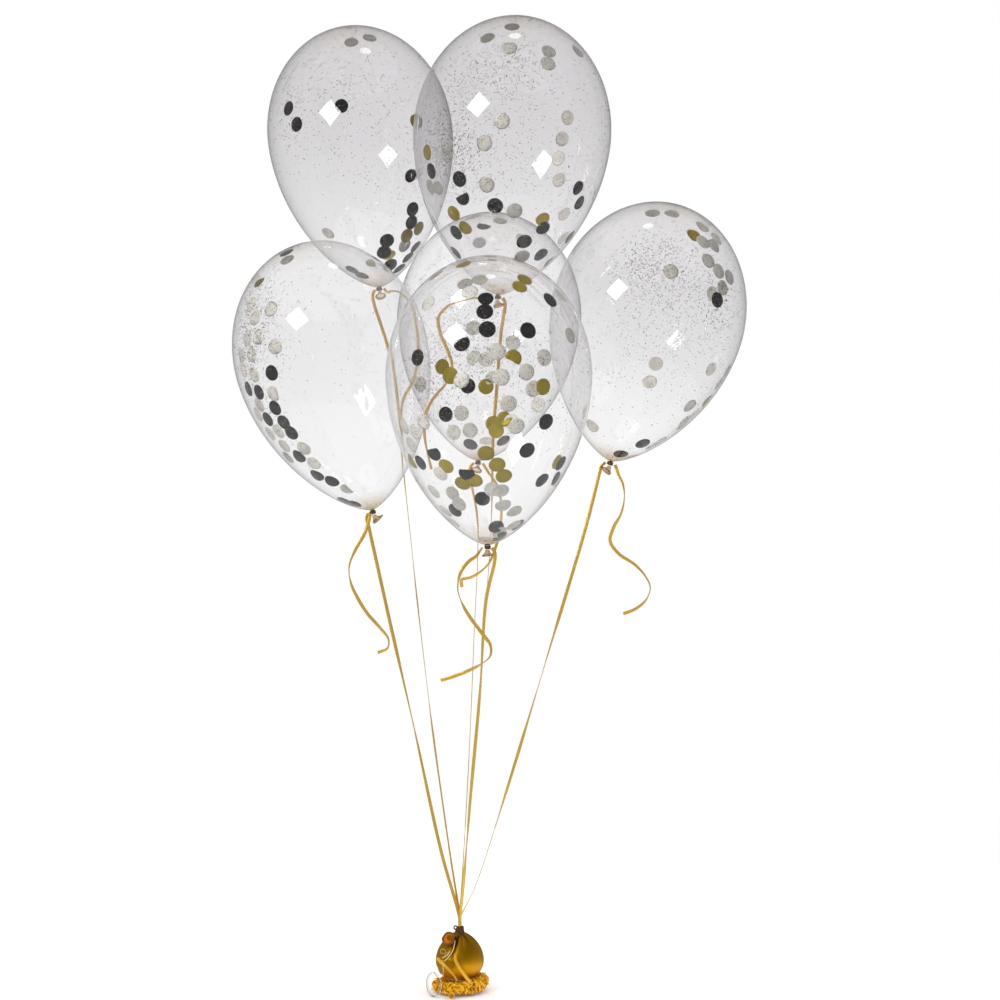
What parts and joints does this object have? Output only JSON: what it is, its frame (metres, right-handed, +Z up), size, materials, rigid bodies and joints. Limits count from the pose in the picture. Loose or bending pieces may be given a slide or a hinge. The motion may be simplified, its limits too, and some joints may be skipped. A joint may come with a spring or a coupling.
{
  "type": "clear confetti balloon bouquet",
  "caption": "Bouquet of clear helium balloons with round confetti inside, tied with gold curling ribbon to a small gold balloon weight in a nest of curled ribbon",
  "frame": {"origin": "on the flat underside of the ribbon nest, below the knot in which all ribbons meet", "axes": "+Z up along the bouquet's height, -Y towards the front where the lowest balloon hangs, +X to the right as seen from the front"},
  "size_m": [0.7595, 0.6443, 1.4747],
  "materials": {
    "clear_latex": "gloss",
    "gold_latex": "gloss",
    "gold_ribbon": "satin",
    "old_gold_ribbon": "satin",
    "bright_gold_ribbon": "gloss",
    "clear_ribbon": "gloss"
  },
  "bodies": {
    "root": {"balloon_front": "clear_latex", "balloon_top": "clear_latex", "balloon_left": "clear_latex", "balloon_right": "clear_latex", "balloon_top_left": "clear_latex", "balloon_back": "clear_latex", "neck_binding_front": "old_gold_ribbon", "neck_binding_top": "old_gold_ribbon", "neck_binding_left": "old_gold_ribbon", "neck_binding_right": "old_gold_ribbon", "neck_binding_top_left": "old_gold_ribbon", "neck_binding_back": "old_gold_ribbon", "ribbon_front": "gold_ribbon", "ribbon_top": "gold_ribbon", "ribbon_left": "gold_ribbon", "ribbon_right": "gold_ribbon", "ribbon_top_left": "gold_ribbon", "ribbon_back": "gold_ribbon", "tail_front": "gold_ribbon", "tail_top": "gold_ribbon", "tail_left": "gold_ribbon", "tail_right": "gold_ribbon", "tail_top_left": "gold_ribbon", "tail_back": "gold_ribbon", "weight_balloon": "gold_latex", "weight_knot": "old_gold_ribbon", "ribbon_nest": "bright_gold_ribbon", "loose_end_right": "bright_gold_ribbon", "loose_end_left": "bright_gold_ribbon", "clear_loop": "clear_ribbon"}
  },
  "joints": []
}
